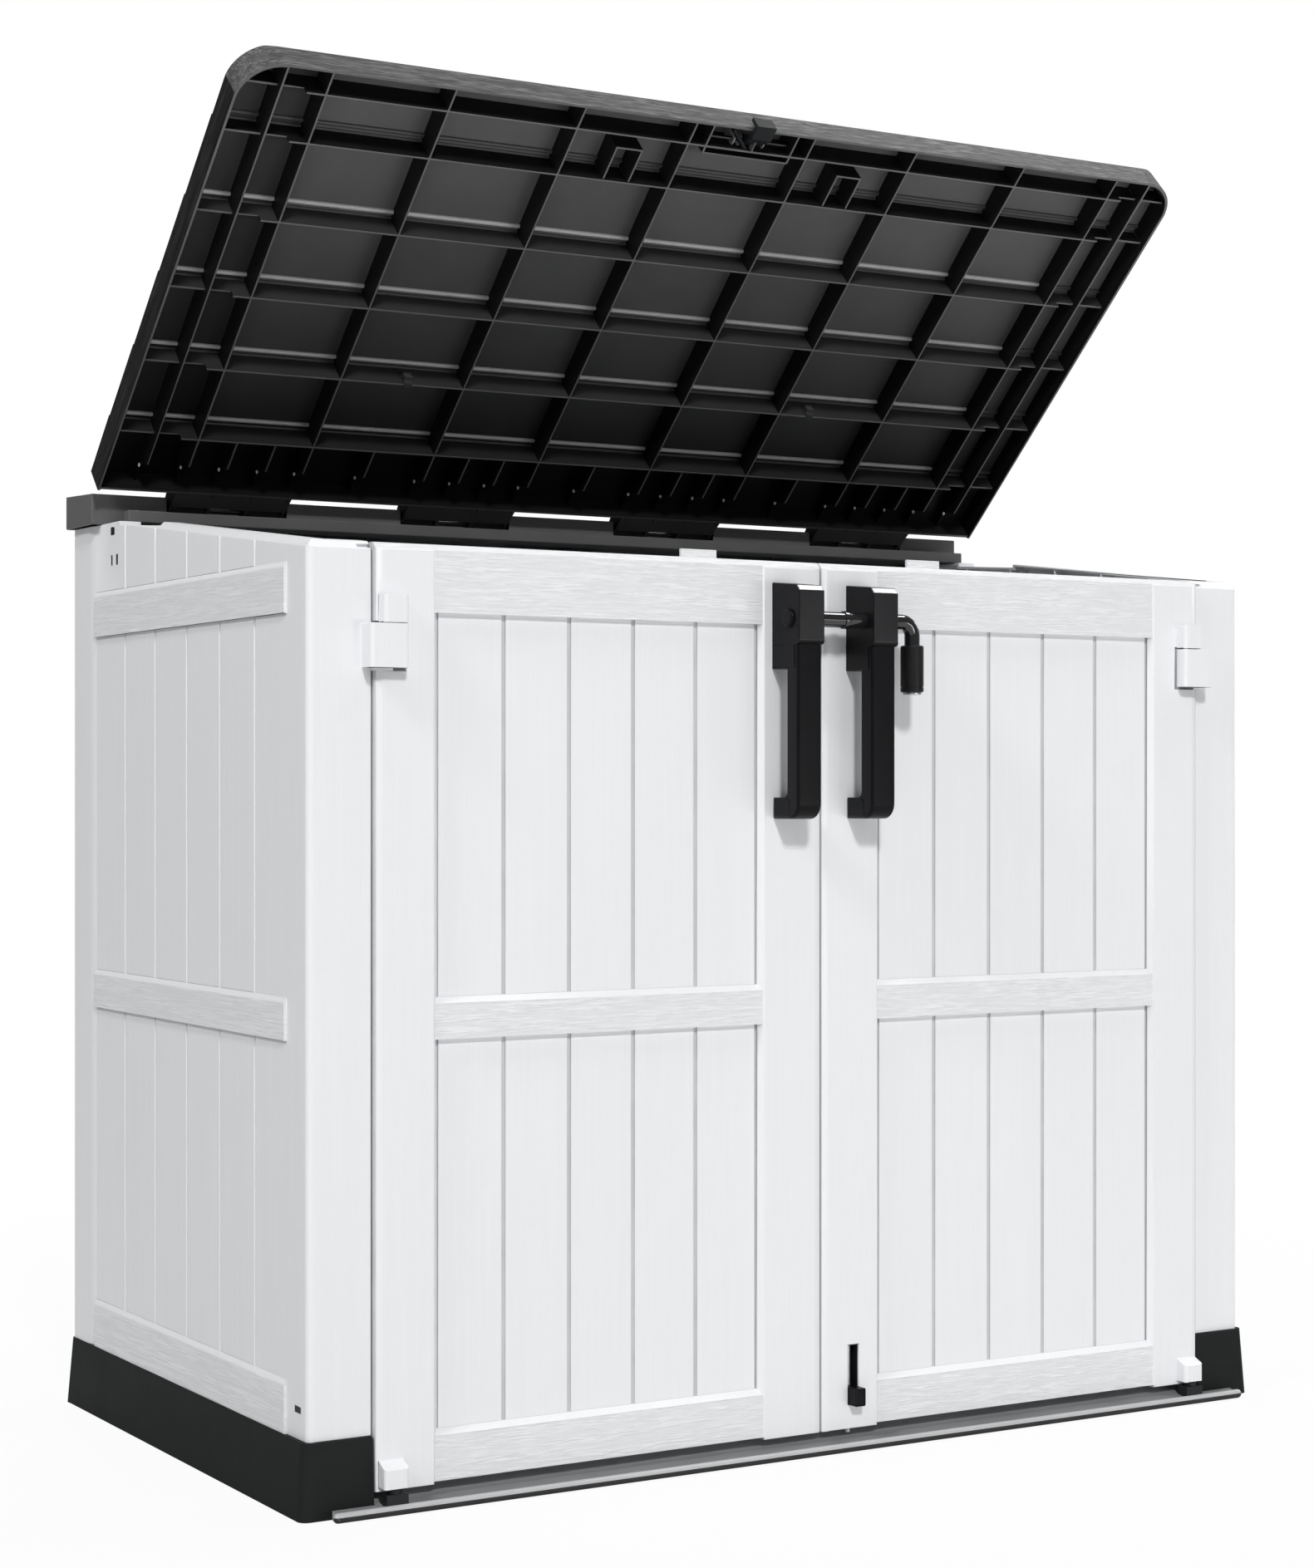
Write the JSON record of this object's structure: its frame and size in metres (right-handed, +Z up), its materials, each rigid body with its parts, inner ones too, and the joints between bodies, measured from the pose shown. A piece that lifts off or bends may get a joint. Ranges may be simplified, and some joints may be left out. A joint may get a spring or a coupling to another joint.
{
  "type": "garden storage cabinet",
  "caption": "Low moulded resin garden cabinet with two boarded front doors, a ribbed hinged lid held open, a dark base with a sill, and a lock bar through the door handles.",
  "frame": {"origin": "middle of the base underside, on the ground", "axes": "+X towards the right door as seen from the front, +Y to the rear, +Z up"},
  "size_m": [1.456, 0.862, 1.7453],
  "materials": {
    "white_resin": "satin resin with a fine moulded wood grain",
    "charcoal_resin": "matt resin",
    "graphite_resin": "matt resin, wood grain on the outside",
    "grey_resin": "satin resin",
    "black_plastic": "matt",
    "handle_black": "satin",
    "lock_metal": "glossy black",
    "lock_black": "satin",
    "steel": "zinc plated"
  },
  "bodies": {
    "cabinet": {"base_floor": "charcoal_resin", "front_sill": "grey_resin", "left_side_panel": "white_resin", "right_side_panel": "white_resin", "rear_panel": "white_resin", "hinge_rail": "graphite_resin", "lid_hinge_pins": "steel", "rail_screws": "steel", "left_panel_clips": "black_plastic", "right_panel_clips": "black_plastic", "left_hinge_post": "black_plastic", "right_hinge_post": "black_plastic"},
    "left_door": {"left_door_panel": "white_resin", "left_door_pins": "steel", "left_handle": "handle_black", "left_handle_screws": "steel", "lock_stud": "lock_metal"},
    "right_door": {"right_door_panel": "white_resin", "right_door_pins": "steel", "right_handle": "handle_black", "right_handle_screws": "steel", "bolt_guide": "black_plastic"},
    "floor_bolt": {"bolt_rod": "steel", "bolt_knob": "handle_black"},
    "sliding_lock": {"lock_bar": "lock_metal", "lock_body": "lock_black", "lock_key_disc": "steel"},
    "lid": {"lid_panel": "graphite_resin", "latch_pin": "steel"},
    "latch": {"latch_hook": "black_plastic"}
  },
  "joints": [
    {"name": "left_door_hinge", "type": "hinge", "parent": "cabinet", "child": "left_door", "pos_m": [-0.6075, -0.407, 0.5], "axis": [0, 0, -1], "range_deg": [0, 170]},
    {"name": "right_door_hinge", "type": "hinge", "parent": "cabinet", "child": "right_door", "pos_m": [0.6075, -0.407, 0.5], "axis": [0, 0, 1], "range_deg": [0, 170]},
    {"name": "lid_hinge", "type": "hinge", "parent": "cabinet", "child": "lid", "pos_m": [0, 0.303, 1.23302], "axis": [-1, 0, 0], "range_deg": [-48.4, 0]},
    {"name": "latch_hinge", "type": "hinge", "parent": "lid", "child": "latch", "pos_m": [0.005, -0.22062, 1.70945], "axis": [1, 0, 0], "range_deg": [0, 30], "stiffness_Nm_per_rad": 0.1, "springref_deg": -11.46},
    {"name": "floor_bolt_slide", "type": "slide", "parent": "right_door", "child": "floor_bolt", "axis": [0, 0, 1], "range_m": [0, 0.05]},
    {"name": "lock_bar_slide", "type": "slide", "parent": "right_door", "child": "sliding_lock", "axis": [1, 0, 0], "range_m": [0, 0.055]}
  ]
}
